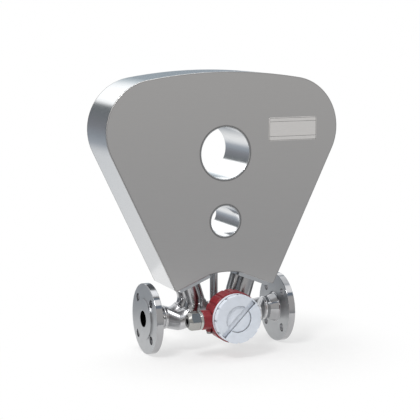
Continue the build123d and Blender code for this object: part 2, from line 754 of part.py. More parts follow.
def transmitter_neck():
    """Hollow stem between the spine and the transmitter"""
    body = bar_y(NECK_RADIUS, HEAD_BACK_Y, NECK_END_Y, 0, HEAD_Z)
    body += bar_y(NECK_COLLAR_RADIUS, HEAD_BACK_Y, HEAD_BACK_Y + NECK_COLLAR_LENGTH, 0, HEAD_Z)
    body -= bar_y(NECK_BORE_RADIUS, HEAD_BACK_Y, NECK_END_Y, 0, HEAD_Z)
    reach = NECK_RADIUS + OVERRUN
    body -= bar_x(SPINE_RADIUS + SNUG, -reach, reach)
    front = -ANCHOR_HALF_Y - SNUG
    return body - block(-reach, reach, front, 0, ANCHOR_LOW_Z - SNUG, HEAD_Z + reach)


def transmitter_housing():
    """Fluted pot of the transmitter with the boss for the cable entry"""
    body = bar_y(HEAD_RADIUS, HEAD_FRONT_Y, HEAD_BACK_Y, 0, HEAD_Z)
    body = fillet(body.edges().filter_by(GeomType.CIRCLE), HEAD_ROUND)
    for x, z in around(FLUTE_COUNT, HEAD_RADIUS + FLUTE_OFFSET, 180 / FLUTE_COUNT):
        body -= bar_y(FLUTE_RADIUS, HEAD_FRONT_Y - OVERRUN, HEAD_BACK_Y + OVERRUN, x, z)
    boss_root = -NECK_COLLAR_RADIUS - BOSS_ROOT_GAP
    boss = bar_x(BOSS_RADIUS, BOSS_END_X, boss_root, BOSS_Y, BOSS_Z)
    boss = fillet(boss.edges().filter_by(GeomType.CIRCLE).sort_by(Axis.X)[0], BOSS_ROUND)
    body += boss
    body += bar_z(SCREW_PAD_RADIUS, SCREW_PAD_Z, BOSS_Z, SCREW_X, BOSS_Y)
    body -= bar_y(OVERRUN - BOSS_END_X, HEAD_FRONT_Y - BOSS_RADIUS, HEAD_FRONT_Y, 0, HEAD_Z)
    body -= bar_y(HEAD_THREAD_RADIUS, HEAD_FRONT_Y, HEAD_FRONT_Y + HEAD_THREAD_DEPTH, 0, HEAD_Z)
    body -= bar_y(HEAD_CAVITY_RADIUS, HEAD_FRONT_Y, HEAD_FLOOR_Y, 0, HEAD_Z)
    body -= bar_y(NECK_BORE_RADIUS, HEAD_FLOOR_Y, HEAD_BACK_Y, 0, HEAD_Z)
    body -= bar_x(BOSS_BORE_RADIUS, BOSS_END_X, BOSS_BORE_RADIUS - HEAD_CAVITY_RADIUS, BOSS_Y, BOSS_Z)
    thread_top = SCREW_PAD_Z + SCREW_SHANK_LENGTH + SCREW_TIP_GAP
    body -= bar_z(SCREW_SHANK_RADIUS + BRAZE, SCREW_PAD_Z, thread_top, SCREW_X, BOSS_Y)
    for x, z in around(POST_COUNT, POST_CIRCLE, 90):
        body += bar_y(POST_RADIUS, BOARD_Y, HEAD_FLOOR_Y, x, z)
        body -= bar_y(BOARD_SCREW_SHANK + BRAZE, BOARD_Y, HEAD_FLOOR_Y + OVERRUN, x, z)
    return body


def cover_face(depth, shape):
    """Shape drawn about the middle of the cover, as a solid that reaches in from its front"""
    return Pos(0, COVER_FRONT_Y + depth, HEAD_Z) * extrude(Plane.XZ * shape, amount=depth)


def screw_cover():
    """Cover screwed into the pot, its face dished in the middle and slotted for a bar"""
    body = bar_y(COVER_RADIUS, COVER_FRONT_Y, COVER_BACK_Y, 0, HEAD_Z)
    body = fillet(body.edges().filter_by(GeomType.CIRCLE).sort_by(Axis.Y)[0], COVER_ROUND)
    groove_back = COVER_BACK_Y - COVER_RING_LENGTH
    groove_front = groove_back - COVER_GROOVE_WIDTH
    for x, z in around(NOTCH_COUNT, COVER_RADIUS + NOTCH_OFFSET):
        body -= bar_y(NOTCH_RADIUS, COVER_FRONT_Y, groove_back, x, z)
    groove = bar_y(COVER_RADIUS + OVERRUN, groove_front, groove_back, 0, HEAD_Z)
    body -= groove - bar_y(COVER_RADIUS - COVER_GROOVE_DEPTH, groove_front, groove_back, 0, HEAD_Z)
    slot_length = 2 * (COVER_RADIUS - SLOT_END_WALL)
    slot = Rot(0, 0, -SLOT_TURN) * RectangleRounded(slot_length, SLOT_WIDTH, SLOT_ROUND)
    body -= cover_face(SLOT_DEPTH, slot)
    body -= cover_face(DISH_DEPTH, Circle(DISH_RADIUS))
    spigot = HEAD_THREAD_RADIUS - RUNNING
    back = COVER_BACK_Y + SPIGOT_LENGTH
    body += bar_y(spigot, COVER_BACK_Y, back, 0, HEAD_Z)
    seat_front = SEAL_Y - SEAL_GROOVE_WIDTH / 2
    seat_back = SEAL_Y + SEAL_GROOVE_WIDTH / 2
    floor = HEAD_THREAD_RADIUS - 2 * SEAL_WIRE - 2 * RUNNING
    seat = bar_y(spigot + OVERRUN, seat_front, seat_back, 0, HEAD_Z)
    body -= seat - bar_y(floor, seat_front, seat_back, 0, HEAD_Z)
    return body - bar_y(SPIGOT_BORE_RADIUS, COVER_FRONT_Y + COVER_WALL, back, 0, HEAD_Z)


def cover_seal():
    """Ring in the groove of the cover spigot"""
    ring = Torus(HEAD_THREAD_RADIUS - RUNNING - SEAL_WIRE, SEAL_WIRE)
    return Pos(0, SEAL_Y, HEAD_Z) * Rot(90, 0, 0) * ring


def circuit_board():
    front = BOARD_Y - BOARD_THICKNESS
    body = bar_y(BOARD_RADIUS, front, BOARD_Y, 0, HEAD_Z)
    for x, z in around(POST_COUNT, POST_CIRCLE, 90):
        body -= bar_y(BOARD_SCREW_SHANK + BRAZE, front, BOARD_Y, x, z)
    return body


def board_screws():
    """Screws that hold the board on its posts"""
    under = BOARD_Y - BOARD_THICKNESS
    screws = []
    for x, z in around(POST_COUNT, POST_CIRCLE, 90):
        screw = bar_y(BOARD_SCREW_HEAD, under - BOARD_SCREW_HEAD_HEIGHT, under, x, z)
        screw += bar_y(BOARD_SCREW_SHANK, under, HEAD_FLOOR_Y, x, z)
        screws.append(screw.solid())
    return Compound(children=screws)


def terminal_places():
    step = TERMINAL_WIDTH / TERMINAL_COUNT
    for index in range(TERMINAL_COUNT):
        yield (index + 0.5) * step - TERMINAL_WIDTH / 2


def terminal_block():
    """Row of screw terminals on the board"""
    back = BOARD_Y - BOARD_THICKNESS
    front = back - TERMINAL_DEPTH
    low = TERMINAL_Z - TERMINAL_HEIGHT / 2
    high = TERMINAL_Z + TERMINAL_HEIGHT / 2
    body = block(-TERMINAL_WIDTH / 2, TERMINAL_WIDTH / 2, front, back, low, high)
    for x in terminal_places():
        body -= bar_y(TERMINAL_SCREW_RADIUS + BRAZE, front, front + TERMINAL_RECESS, x, TERMINAL_Z)
    return body


def terminal_screws():
    floor = BOARD_Y - BOARD_THICKNESS - TERMINAL_DEPTH + TERMINAL_RECESS
    head = floor - TERMINAL_SCREW_HEIGHT
    reach = TERMINAL_SCREW_RADIUS + OVERRUN
    half = TERMINAL_SLOT_WIDTH / 2
    screws = []
    for x in terminal_places():
        screw = bar_y(TERMINAL_SCREW_RADIUS, head, floor, x, TERMINAL_Z)
        slot = block(
            x - reach, x + reach, head, head + TERMINAL_SLOT_DEPTH, TERMINAL_Z - half, TERMINAL_Z + half
        )
        screws.append((screw - slot).solid())
    return Compound(children=screws)


def gland_bar(radius, x0, x1):
    """Round bar on the axis of the cable gland"""
    return bar_x(radius, x0, x1, BOSS_Y, BOSS_Z)


def gland_body():
    """Gland body screwed into the boss, with a seat for the cable seal"""
    inner = BOSS_END_X + GLAND_SPIGOT_LENGTH
    flange_ring = gland_bar(GLAND_FLANGE_RADIUS, GLAND_FACE_X, BOSS_END_X)
    flange_ring = fillet(flange_ring.edges().filter_by(GeomType.CIRCLE), GLAND_FLANGE_ROUND)
    body = flange_ring + gland_bar(BOSS_BORE_RADIUS - BRAZE, BOSS_END_X, inner)
    body += gland_bar(GLAND_BARREL_RADIUS, BARREL_END_X, GLAND_FACE_X)
    body -= gland_bar(GLAND_PASSAGE_RADIUS, BARREL_END_X, inner)
    return body - gland_bar(GLAND_SEAT_RADIUS, BARREL_END_X, SEAT_FLOOR_X)


def gland_seal():
    """Rubber sleeve that grips the cable"""
    body = gland_bar(GLAND_SEAT_RADIUS - SNUG, BARREL_END_X, SEAT_FLOOR_X - SNUG)
    return body - gland_bar(GLAND_PASSAGE_RADIUS, BARREL_END_X, SEAT_FLOOR_X)


def gland_nut():
    """Hexagonal cap nut with a domed end"""
    corner = NUT_ACROSS_FLATS / 2 / cos(radians(30))
    end_plane = Plane(origin=(NUT_END_X, BOSS_Y, BOSS_Z), x_dir=(0, 1, 0), z_dir=(1, 0, 0))
    body = extrude(end_plane * RegularPolygon(corner, 6), amount=NUT_LENGTH)
    rim = corner - NUT_CORNER_TRIM
    shape = [
        (NUT_END_X, 0),
        (NUT_END_X, NUT_END_RADIUS),
        (NUT_END_X + NUT_DOME_LENGTH, rim),
        (NUT_BASE_X - NUT_CHAMFER, rim),
        (NUT_BASE_X, rim - NUT_CHAMFER),
        (NUT_BASE_X, 0),
    ]
    dome = revolve(make_face(Polyline(*shape, close=True)), Axis.X)
    body = body & Pos(0, BOSS_Y, BOSS_Z) * dome
    body -= gland_bar(GLAND_BARREL_RADIUS + RUNNING, NUT_END_X + NUT_END_WALL, NUT_BASE_X)
    return body - gland_bar(GLAND_PASSAGE_RADIUS, NUT_END_X, NUT_BASE_X)


def thrust_ring():
    """Slip ring between the nut and the cable seal"""
    body = gland_bar(THRUST_RING_RADIUS, THRUST_X, THRUST_X + THRUST_RING_LENGTH)
    return body - gland_bar(GLAND_PASSAGE_RADIUS + SNUG, THRUST_X, THRUST_X + THRUST_RING_LENGTH)


def ground_screw():
    """Earthing screw under the boss"""
    low = SCREW_PAD_Z - SCREW_HEAD_HEIGHT
    head = bar_z(SCREW_HEAD_RADIUS, low, SCREW_PAD_Z, SCREW_X, BOSS_Y)
    head = fillet(head.edges().filter_by(GeomType.CIRCLE).sort_by(Axis.Z)[0], SCREW_HEAD_ROUND)
    reach = SCREW_HEAD_RADIUS + OVERRUN
    half = SCREW_SLOT / 2
    head -= block(
        SCREW_X - reach, SCREW_X + reach, BOSS_Y - half, BOSS_Y + half, low, low + SCREW_SLOT_DEPTH
    )
    return head + bar_z(SCREW_SHANK_RADIUS, SCREW_PAD_Z, SCREW_PAD_Z + SCREW_SHANK_LENGTH, SCREW_X, BOSS_Y)


def write(name, shape):
    """Write one piece with the inlet sealing face at the origin"""
    export_step(Pos(HALF_LENGTH, 0, 0) * shape, f"parts/{name}.step")


def pair(shape):
    """A piece and its mirror image on the outlet side, as one group"""
    return Compound(children=[shape.solid(), mirror(shape, about=Plane.YZ).solid()])


def main():
    os.makedirs("parts", exist_ok=True)
    front = front_plate()
    write("housing_front_plate", front)
    write("housing_rear_plate", mirror(front, about=Plane.XZ))
    write("housing_band", band())
    write("housing_arch_plate", arch_plate())
    write("housing_bottom_left", closing_plate(-1))
    write("housing_bottom_right", closing_plate(1))
    write("upper_sleeve", sleeve(UPPER_HOLE_RADIUS, UPPER_SLEEVE_WALL, UPPER_HOLE_Z))
    write("lower_sleeve", sleeve(LOWER_HOLE_RADIUS, LOWER_SLEEVE_WALL, LOWER_HOLE_Z))
    write("nameplate", nameplate())
    inlet = flange()
    write("inlet_flange", inlet)
    write("outlet_flange", mirror(inlet, about=Plane.YZ))
    write("flange_weld_beads", pair(flange_weld()))
    divider = splitter()
    write("inlet_splitter", divider)
    write("outlet_splitter", mirror(divider, about=Plane.YZ))
    write("tube_weld_beads", seam_beads())
    tube = measuring_tube(-BRANCH_Y)
    write("front_measuring_tube", tube)
    write("rear_measuring_tube", mirror(tube, about=Plane.XZ))
    write("front_mass_bar", mass_bar(-1))
    write("rear_mass_bar", mass_bar(1))
    write("front_torsion_rod", torsion_rod(-ROD_Y))
    write("rear_torsion_rod", torsion_rod(ROD_Y))
    write("rod_anchor", rod_anchor())
    write("spine", spine())
    for name, side in (("left", -1), ("right", 1)):
        write(f"{name}_drive_coil", drive_coil(side))
        write(f"{name}_drive_magnet", drive_magnet(side))
        write(f"{name}_pickup_coil", pickup_coil(side))
        write(f"{name}_pickup_magnet", pickup_magnet(side))
    write("temperature_sensor", temperature_sensor())
    write("conduit", conduit())
    write("conduit_ferrule", conduit_ferrule())
    write("conduit_base", conduit_base())
    write("transmitter_neck", transmitter_neck())
    write("transmitter_housing", transmitter_housing())
    write("screw_cover", screw_cover())
    write("cover_seal", cover_seal())
    write("circuit_board", circuit_board())
    write("board_screws", board_screws())
    write("terminal_block", terminal_block())
    write("terminal_screws", terminal_screws())
    write("gland_body", gland_body())
    write("gland_seal", gland_seal())
    write("gland_nut", gland_nut())
    write("gland_thrust_ring", thrust_ring())
    write("ground_screw", ground_screw())


main()
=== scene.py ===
import math

import bpy
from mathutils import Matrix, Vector


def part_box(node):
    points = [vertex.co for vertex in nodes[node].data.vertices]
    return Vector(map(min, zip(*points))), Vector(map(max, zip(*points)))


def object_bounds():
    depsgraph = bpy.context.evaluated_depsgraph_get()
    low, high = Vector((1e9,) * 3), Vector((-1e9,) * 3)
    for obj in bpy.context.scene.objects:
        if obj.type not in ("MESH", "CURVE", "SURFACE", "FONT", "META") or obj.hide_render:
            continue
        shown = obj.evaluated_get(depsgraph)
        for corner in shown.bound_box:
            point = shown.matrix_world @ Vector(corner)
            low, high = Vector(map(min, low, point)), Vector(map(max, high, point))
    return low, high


# Coriolis mass flow meter: materials, floor, studio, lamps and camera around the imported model
# Metres and watts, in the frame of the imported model

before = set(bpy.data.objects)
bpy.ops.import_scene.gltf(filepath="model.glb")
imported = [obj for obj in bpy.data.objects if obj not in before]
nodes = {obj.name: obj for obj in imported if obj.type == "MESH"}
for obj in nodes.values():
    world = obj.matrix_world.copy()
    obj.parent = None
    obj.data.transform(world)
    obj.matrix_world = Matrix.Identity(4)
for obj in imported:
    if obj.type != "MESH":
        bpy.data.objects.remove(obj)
cad_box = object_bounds()

# Camera as fitted to the photograph, with the lens and the sensor's width in millimetres
CAMERA_PLACE = (-0.9414, -2.5416, 0.6305)
CAMERA_TARGET = (0.1538, 0.0, 0.2237)
CAMERA_LENS = 112.38
SENSOR_WIDTH = 36.0

# Floor, a disc under the middle of the meter
# FLOOR_GLOW is the share of plain white that shows within FLOOR_FADE of its middle,
# and from FLOOR_WHITE outwards all of it is plain white
FLOOR_Z = cad_box[0].z
AXIS_X = (cad_box[0].x + cad_box[1].x) / 2
FLOOR_RADIUS = 0.46
FLOOR_SIDES = 96
FLOOR_GLOW = 0.6
FLOOR_FADE = 0.24
FLOOR_WHITE = 0.97 * FLOOR_RADIUS
FLOOR_COLOUR = (0.94, 0.94, 0.935)
FLOOR_ROUGH = 0.9
FLOOR_SPECULAR = 0.1
FLOOR_GRAIN = 2.0
FLOOR_MOTTLE = 0.01

# Lamps: name, place, width, height and power
LAMP_TARGET = (AXIS_X, 0.0, 0.22)
LAMPS = [
    ("key", (-1.3, -1.2, 2.3), 0.7, 0.7, 38.0),
    ("top", (0.1, 0.5, 2.4), 1.4, 1.4, 22.0),
    ("left", (-2.4, 0.4, 0.7), 1.2, 1.6, 8.0),
]

# Studio: strength of the white light on all pieces, strength of the walls that glossy surfaces mirror,
# and the parts of a ray along x and along y between which one wall runs over into the next
SKY = 0.42
SHEEN = 1.5
LEFT_TO_RIGHT = (-0.25, 0.3)
SIDES_TO_FRONT = (0.2, -0.2)

# Walls as stops of height and colour: 0 is straight down, 0.5 is level and 1 is straight up
WHITE = (1.0, 1.0, 1.0)
CEILING = (0.56, 0.57, 0.58)
LEFT_WALL = [
    (0.0, (0.60, 0.60, 0.60)),
    (0.31, (0.62, 0.62, 0.62)),
    (0.345, (0.54, 0.55, 0.56)),
    (0.39, (0.27, 0.29, 0.32)),
    (0.43, (0.215, 0.235, 0.26)),
    (0.5, (0.16, 0.165, 0.18)),
    (0.625, (0.11, 0.12, 0.125)),
    (0.638, WHITE),
    (0.70, WHITE),
    (0.78, (0.64, 0.65, 0.66)),
    (1.0, CEILING),
]
RIGHT_WALL = [
    (0.0, (0.60, 0.60, 0.60)),
    (0.40, (0.22, 0.24, 0.26)),
    (0.5, (0.22, 0.25, 0.285)),
    (0.573, (0.20, 0.233, 0.26)),
    (0.63, (0.42, 0.47, 0.50)),
    (0.68, WHITE),
    (0.72, WHITE),
    (0.80, (0.72, 0.73, 0.74)),
    (0.81, (0.24, 0.28, 0.32)),
    (0.83, (0.24, 0.28, 0.32)),
    (0.84, (0.78, 0.79, 0.80)),
    (1.0, CEILING),
]
FRONT_WALL = [
    (0.0, (0.37, 0.37, 0.37)),
    (0.30, (0.22, 0.225, 0.235)),
    (0.40, (0.28, 0.287, 0.298)),
    (0.50, (0.415, 0.413, 0.408)),
    (0.80, (0.44, 0.43, 0.42)),
    (0.825, (0.19, 0.22, 0.26)),
    (0.865, (0.15, 0.19, 0.24)),
    (0.88, WHITE),
    (0.945, WHITE),
    (0.95, (0.16, 0.20, 0.25)),
    (0.97, (0.16, 0.20, 0.25)),
    (0.975, CEILING),
    (1.0, CEILING),
]

# Grain: how far it is squeezed along x, y and z by brushing along an axis or turning about it
EVEN = (1.0, 1.0, 1.0)
BRUSHED_X = (1.0, 30.0, 30.0)
BRUSHED_Y = (30.0, 1.0, 30.0)
FINE_BRUSHED_Y = (40.0, 1.0, 40.0)
TURNED_X = (30.0, 1.0, 1.0)
TURNED_Z = (1.0, 1.0, 20.0)

# Detail of the grain, and its levels at which a colour is at its darkest and at its lightest
GRAIN_DETAIL = 3.0
DARK_STOP = 0.3
LIGHT_STOP = 0.7

# Bare metal: height of its relief, and how far its roughness varies
METAL_RELIEF = 0.0004
METAL_SPREAD = 0.15

# Paint, plastic and rubber: grain of the colour and of the relief, relief, and how far the roughness varies
COAT_GRAIN = 90.0
COAT_FINE_GRAIN = 9 * COAT_GRAIN
COAT_RELIEF = 0.0003
COAT_RELIEF_STRENGTH = 0.05
COAT_SPREAD = 0.1

# Painted shade along cut edges and in crevices: share of the colour that is left there,
# and the openness at which a face is all dark and at which it has its full colour
EDGE_SHADE_TONE = 0.34
EDGE_SHADE_RANGE = (0.55, 0.95)
CREVICE_SHADE_TONE = 0.20
CREVICE_SHADE_RANGE = (0.45, 0.95)
OCCLUSION_SAMPLES = 8

# Turned flanges: part of the surface normal along the bore where the rim ends and the face starts
FACE_RANGE = (0.90, 0.98)
TURNED_GRAIN = 60.0
RIM_MOTTLE = 0.05
FACE_MOTTLE = 0.03

# Nameplate: distance from the edge of a thin dark line that is painted shade round its edge, half the width
# of a line, and the heights of the printed rules as shares of half its height
NAME_BORDER = 0.0014
NAME_LINE = 0.00035
NAME_RULES = (0.64, -0.62)
NAME_GRAIN = 60.0
NAME_MOTTLE = 0.03
NAME_SPREAD = 0.1
# Share of the colour left in the printed rules and in the painted shade round the edge
INK_AND_SHADE_TONE = 0.16


def material(name):
    """New node material with its tree and its shader"""
    mat = bpy.data.materials.new(name)
    mat.use_nodes = True
    return mat, mat.node_tree, mat.node_tree.nodes["Principled BSDF"]


def coordinates(tree, kind):
    """Texture coordinates of one kind: Object, Normal or Generated"""
    return tree.nodes.new("ShaderNodeTexCoord").outputs[kind]


def split(tree, vector):
    """X, Y and Z of a vector"""
    node = tree.nodes.new("ShaderNodeSeparateXYZ")
    tree.links.new(vector, node.inputs["Vector"])
    return node.outputs


def feed(tree, socket, value):
    """Number or colour set on a socket, or another node's output linked to it"""
    if isinstance(value, tuple):
        socket.default_value = (*value, 1.0)
    elif isinstance(value, (int, float)):
        socket.default_value = value
    else:
        tree.links.new(value, socket)


def calculate(tree, operation, *terms, clamp=False):
    """One step of arithmetic on values and numbers"""
    node = tree.nodes.new("ShaderNodeMath")
    node.operation = operation
    node.use_clamp = clamp
    for socket, term in zip(node.inputs, terms):
        feed(tree, socket, term)
    return node.outputs["Value"]


def remap(tree, value, source=(0.0, 1.0), target=(0.0, 1.0), smooth=False):
    """Value sent from one range to another, in a straight line or with soft ends"""
    node = tree.nodes.new("ShaderNodeMapRange")
    node.interpolation_type = "SMOOTHSTEP" if smooth else "LINEAR"
    for socket, number in zip(("From Min", "From Max", "To Min", "To Max"), (*source, *target)):
        node.inputs[socket].default_value = number
    tree.links.new(value, node.inputs["Value"])
    return node.outputs["Result"]


def ramp(tree, factor, stops):
    """Colour ramp with its stops given as place and colour"""
    node = tree.nodes.new("ShaderNodeValToRGB")
    elements = node.color_ramp.elements
    while len(elements) < len(stops):
        elements.new(0.5)
    for element, (position, colour) in zip(elements, stops):
        element.position = position
        element.color = (*colour, 1.0)
    tree.links.new(factor, node.inputs["Fac"])
    return node.outputs["Color"]


def blend_colours(tree, factor, first, second):
    """First colour at factor 0, second colour at factor 1"""
    node = tree.nodes.new("ShaderNodeMix")
    node.data_type = "RGBA"
    tree.links.new(factor, node.inputs["Factor"])
    feed(tree, node.inputs["A"], first)
    feed(tree, node.inputs["B"], second)
    return node.outputs["Result"]


def choose(tree, factor, first, second):
    """First shader at factor 0, second shader at factor 1"""
    node = tree.nodes.new("ShaderNodeMixShader")
    tree.links.new(factor, node.inputs["Fac"])
    tree.links.new(first, node.inputs[1])
    tree.links.new(second, node.inputs[2])
    return node.outputs["Shader"]


def noise(tree, scale, stretch=EVEN):
    """Grain that is fixed to the piece, squeezed along each axis"""
    mapping = tree.nodes.new("ShaderNodeMapping")
    mapping.inputs["Scale"].default_value = stretch
    tree.links.new(coordinates(tree, "Object"), mapping.inputs["Vector"])
    node = tree.nodes.new("ShaderNodeTexNoise")
    node.inputs["Scale"].default_value = scale
    node.inputs["Detail"].default_value = GRAIN_DETAIL
    tree.links.new(mapping.outputs["Vector"], node.inputs["Vector"])
    return node.outputs["Fac"]


def dimmed(colour, tone):
    """Share of a colour"""
    return tuple(tone * part for part in colour)


def mottled(tree, grain, colour, mottle):
    """Colour that is a little darker and a little lighter with the grain"""
    stops = [(DARK_STOP, dimmed(colour, 1 - mottle)), (LIGHT_STOP, dimmed(colour, 1 + mottle))]
    return ramp(tree, grain, stops)


def uneven(tree, grain, rough, spread):
    """Roughness that varies with the grain"""
    return remap(tree, grain, target=(rough * (1 - spread), rough * (1 + spread)))


def with_painted_shade(tree, base, dark, reach, openness, inside):
    """Base colour with painted shade in crevices or, with inside, along outer edges"""
    # Painted shade: occlusion darkens the colour towards the dark tone
    node = tree.nodes.new("ShaderNodeAmbientOcclusion")
    node.samples = OCCLUSION_SAMPLES
    node.only_local = True
    node.inside = inside
    node.inputs["Distance"].default_value = reach
    open_face = remap(tree, node.outputs["AO"], openness, smooth=True)
    return blend_colours(tree, open_face, dark, base)


def bump(tree, shader, height, strength, distance):
    """Fine relief on the surface"""
    node = tree.nodes.new("ShaderNodeBump")
    node.inputs["Strength"].default_value = strength
    node.inputs["Distance"].default_value = distance
    tree.links.new(height, node.inputs["Height"])
    tree.links.new(node.outputs["Normal"], shader.inputs["Normal"])


def surface(tree, shader, base, roughness, metallic):
    """Colour and roughness that vary over a surface, and whether it is bare metal"""
    tree.links.new(base, shader.inputs["Base Color"])
    tree.links.new(roughness, shader.inputs["Roughness"])
    shader.inputs["Metallic"].default_value = metallic


def metal(name, colour, rough, scale, mottle, stretch=EVEN, relief=0.0, edge_shade_reach=0.0):
    """Bare metal with the grain left by its making, and with painted shade along cut edges where their
    reach is given
    """
    mat, tree, shader = material(name)
    grain = noise(tree, scale, stretch)
    base = mottled(tree, grain, colour, mottle)
    # Painted shade: the colour darkens near cut edges, from occlusion
    if edge_shade_reach:
        dark = dimmed(colour, EDGE_SHADE_TONE)
        base = with_painted_shade(tree, base, dark, edge_shade_reach, EDGE_SHADE_RANGE, inside=True)
    surface(tree, shader, base, uneven(tree, grain, rough, METAL_SPREAD), metallic=1.0)
    if relief:
        bump(tree, shader, grain, relief, METAL_RELIEF)
    return mat


def coat(name, colour, rough, mottle, crevice_shade_reach=0.0):
    """Paint, plastic or rubber with a faint mottle, and with painted shade in crevices where their reach is
    given
    """
    mat, tree, shader = material(name)
    grain = noise(tree, COAT_GRAIN)
    base = mottled(tree, grain, colour, mottle)
    # Painted shade: the colour darkens in crevices, from occlusion
    if crevice_shade_reach:
        dark = dimmed(colour, CREVICE_SHADE_TONE)
        base = with_painted_shade(tree, base, dark, crevice_shade_reach, CREVICE_SHADE_RANGE, inside=False)
    surface(tree, shader, base, uneven(tree, grain, rough, COAT_SPREAD), metallic=0.0)
    bump(tree, shader, noise(tree, COAT_FINE_GRAIN), COAT_RELIEF_STRENGTH, COAT_RELIEF)
    return mat


def turned(name, rim_colour, rim_rough, face_colour, face_rough):
    """Turned steel with a polished rim and hub, and satin faces square to the bore"""
    mat, tree, shader = material(name)
    grain = noise(tree, TURNED_GRAIN, TURNED_X)
    along_bore = calculate(tree, "ABSOLUTE", split(tree, coordinates(tree, "Normal"))["X"])
    face = remap(tree, along_bore, FACE_RANGE, smooth=True)
    rim_base = mottled(tree, grain, rim_colour, RIM_MOTTLE)
    face_base = mottled(tree, grain, face_colour, FACE_MOTTLE)
    base = blend_colours(tree, face, rim_base, face_base)
    surface(tree, shader, base, remap(tree, face, target=(rim_rough, face_rough)), metallic=1.0)
    return mat


def past_edge_shade(tree, coordinate, middle, half):
    """How far a coordinate is past the line of painted shade near the nameplate's edge, on either side of
    the middle
    """
    away = calculate(tree, "ABSOLUTE", calculate(tree, "SUBTRACT", coordinate, middle))
    return calculate(tree, "SUBTRACT", away, half - NAME_BORDER)


def edge_shade_and_rules(tree, plate):
    """1 on a thin line of painted shade round a plate's edge and on the printed rules across it, and 0
    beside them
    """
    low_corner, high_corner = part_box(plate)
    middle = (low_corner + high_corner) / 2
    half = (high_corner - low_corner) / 2
    at = split(tree, coordinates(tree, "Object"))
    past_x = past_edge_shade(tree, at["X"], middle.x, half.x)
    past_z = past_edge_shade(tree, at["Z"], middle.z, half.z)
    past = calculate(tree, "MAXIMUM", past_x, past_z)
    inside = calculate(tree, "LESS_THAN", past, 0.0)
    lines = calculate(tree, "COMPARE", past, 0.0, NAME_LINE)
    for level in NAME_RULES:
        rule = calculate(tree, "COMPARE", at["Z"], middle.z + level * half.z, NAME_LINE)
        lines = calculate(tree, "MAXIMUM", lines, calculate(tree, "MULTIPLY", rule, inside))
    return lines


def ruled(name, colour, rough, plate):
    """Brushed sheet with painted shade in a thin line round its edge and plain printed rules, for the plate
    it is named with
    """
    mat, tree, shader = material(name)
    grain = noise(tree, NAME_GRAIN, BRUSHED_X)
    bare = mottled(tree, grain, colour, NAME_MOTTLE)
    ink_and_shade = mottled(tree, grain, dimmed(colour, INK_AND_SHADE_TONE), NAME_MOTTLE)
    base = blend_colours(tree, edge_shade_and_rules(tree, plate), bare, ink_and_shade)
    surface(tree, shader, base, uneven(tree, grain, rough, NAME_SPREAD), metallic=1.0)
    return mat


def dress(mat, *names):
    """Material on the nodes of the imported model"""
    for name in names:
        for slot in nodes[name].material_slots:
            slot.material = mat


def floor_paint():
    """Pale floor that keeps the meter's shadow and runs out into the white of the studio"""
    mat, tree, shader = material("floor")
    base = mottled(tree, noise(tree, FLOOR_GRAIN), FLOOR_COLOUR, FLOOR_MOTTLE)
    tree.links.new(base, shader.inputs["Base Color"])
    shader.inputs["Roughness"].default_value = FLOOR_ROUGH
    shader.inputs["Specular IOR Level"].default_value = FLOOR_SPECULAR
    away = tree.nodes.new("ShaderNodeVectorMath")
    away.operation = "LENGTH"
    tree.links.new(coordinates(tree, "Object"), away.inputs[0])
    run_out = remap(tree, away.outputs["Value"], (FLOOR_FADE, FLOOR_WHITE), (FLOOR_GLOW, 1.0), smooth=True)
    rays = tree.nodes.new("ShaderNodeLightPath").outputs
    seen = calculate(tree, "ADD", rays["Is Camera Ray"], rays["Is Glossy Ray"], clamp=True)
    seen = calculate(tree, "ADD", seen, rays["Is Transmission Ray"], clamp=True)
    white_part = calculate(tree, "MULTIPLY", seen, run_out, clamp=True)
    white = tree.nodes.new("ShaderNodeEmission")
    feed(tree, white.inputs["Color"], WHITE)
    mixed = choose(tree, white_part, shader.outputs["BSDF"], white.outputs["Emission"])
    tree.links.new(mixed, tree.nodes["Material Output"].inputs["Surface"])
    return mat


def floor():
    """Round floor under the meter"""
    turns = [math.tau * index / FLOOR_SIDES for index in range(FLOOR_SIDES)]
    rim = [(FLOOR_RADIUS * math.cos(turn), FLOOR_RADIUS * math.sin(turn), 0.0) for turn in turns]
    mesh = bpy.data.meshes.new("floor")
    mesh.from_pydata(rim, [], [tuple(range(FLOOR_SIDES))])
    mesh.materials.append(floor_paint())
    obj = bpy.data.objects.new("floor", mesh)
    obj.location = (AXIS_X, 0.0, FLOOR_Z)
    bpy.context.collection.objects.link(obj)


def glow(tree, colour, strength):
    """Light of the studio, in one colour or in the colours of its walls"""
    node = tree.nodes.new("ShaderNodeBackground")
    node.inputs["Strength"].default_value = strength
    feed(tree, node.inputs["Color"], colour)
    return node.outputs["Background"]


def studio():
    """White studio, with grey walls and bright bands that only glossy surfaces mirror"""
    world = bpy.data.worlds.new("studio")
    world.use_nodes = True
    bpy.context.scene.world = world
    tree = world.node_tree
    tree.nodes.remove(tree.nodes["Background"])
    ray = split(tree, coordinates(tree, "Generated"))
    height = remap(tree, ray["Z"], source=(-1.0, 1.0))
    left, right, front = [ramp(tree, height, stops) for stops in (LEFT_WALL, RIGHT_WALL, FRONT_WALL)]
    sides = blend_colours(tree, remap(tree, ray["X"], LEFT_TO_RIGHT, smooth=True), left, right)
    walls = blend_colours(tree, remap(tree, ray["Y"], SIDES_TO_FRONT, smooth=True), sides, front)
    rays = tree.nodes.new("ShaderNodeLightPath").outputs
    shader = choose(tree, rays["Is Glossy Ray"], glow(tree, WHITE, SKY), glow(tree, walls, SHEEN))
    background = glow(tree, WHITE, 1.0)
    for kind in ("Is Transmission Ray", "Is Camera Ray"):
        shader = choose(tree, rays[kind], shader, background)
    tree.links.new(shader, tree.nodes["World Output"].inputs["Surface"])


